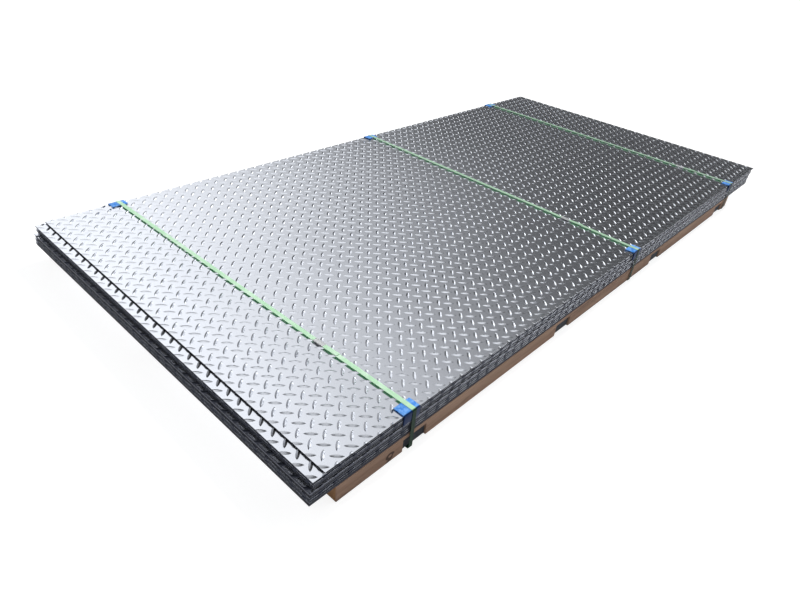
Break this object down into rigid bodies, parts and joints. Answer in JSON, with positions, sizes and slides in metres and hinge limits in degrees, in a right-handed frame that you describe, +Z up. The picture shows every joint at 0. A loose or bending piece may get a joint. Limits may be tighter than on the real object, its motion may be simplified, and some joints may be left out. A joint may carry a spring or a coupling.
{
  "type": "strapped pack of stainless steel tread plate sheets",
  "caption": "Banded pack of stainless steel tread plate with raised lugs, sheets slipped a little at the ends, on a timber skid with plastic straps, seals and corner guards.",
  "frame": {"origin": "middle of the pack's footprint, on the floor under the stringers", "axes": "+X along the sheets, away from the end where the lower sheets stick out; +Y across the sheets; +Z up"},
  "size_m": [2.4754, 1.2276, 0.1147],
  "materials": {
    "stainless": "mill-finish stainless steel with raised tread lugs",
    "timber": "rough-sawn weathered softwood",
    "bearer_timber": "dark weathered sawn wood",
    "strap": "smooth green polyester strapping with a slight sheen",
    "seal": "bright crimped metal",
    "guard": "satin blue moulded plastic"
  },
  "bodies": {
    "root": {"sheet_01": "stainless", "sheet_02": "stainless", "sheet_03": "stainless", "sheet_04": "stainless", "sheet_05": "stainless", "sheet_06": "stainless", "sheet_07": "stainless", "sheet_08": "stainless", "sheet_09": "stainless", "sheet_10": "stainless", "sheet_11": "stainless", "sheet_12": "stainless", "sheet_13": "stainless", "sheet_14": "stainless", "stringer_near": "timber", "stringer_middle": "timber", "stringer_far": "timber", "cross_bearer_1": "bearer_timber", "cross_bearer_2": "bearer_timber", "cross_bearer_3": "bearer_timber", "cross_bearer_4": "bearer_timber", "strap_1": "strap", "strap_2": "strap", "strap_3": "strap", "seal_1": "seal", "seal_2": "seal", "seal_3": "seal", "guard_1_near": "guard", "guard_2_near": "guard", "guard_3_near": "guard", "guard_1_far": "guard", "guard_2_far": "guard", "guard_3_far": "guard"}
  },
  "joints": []
}
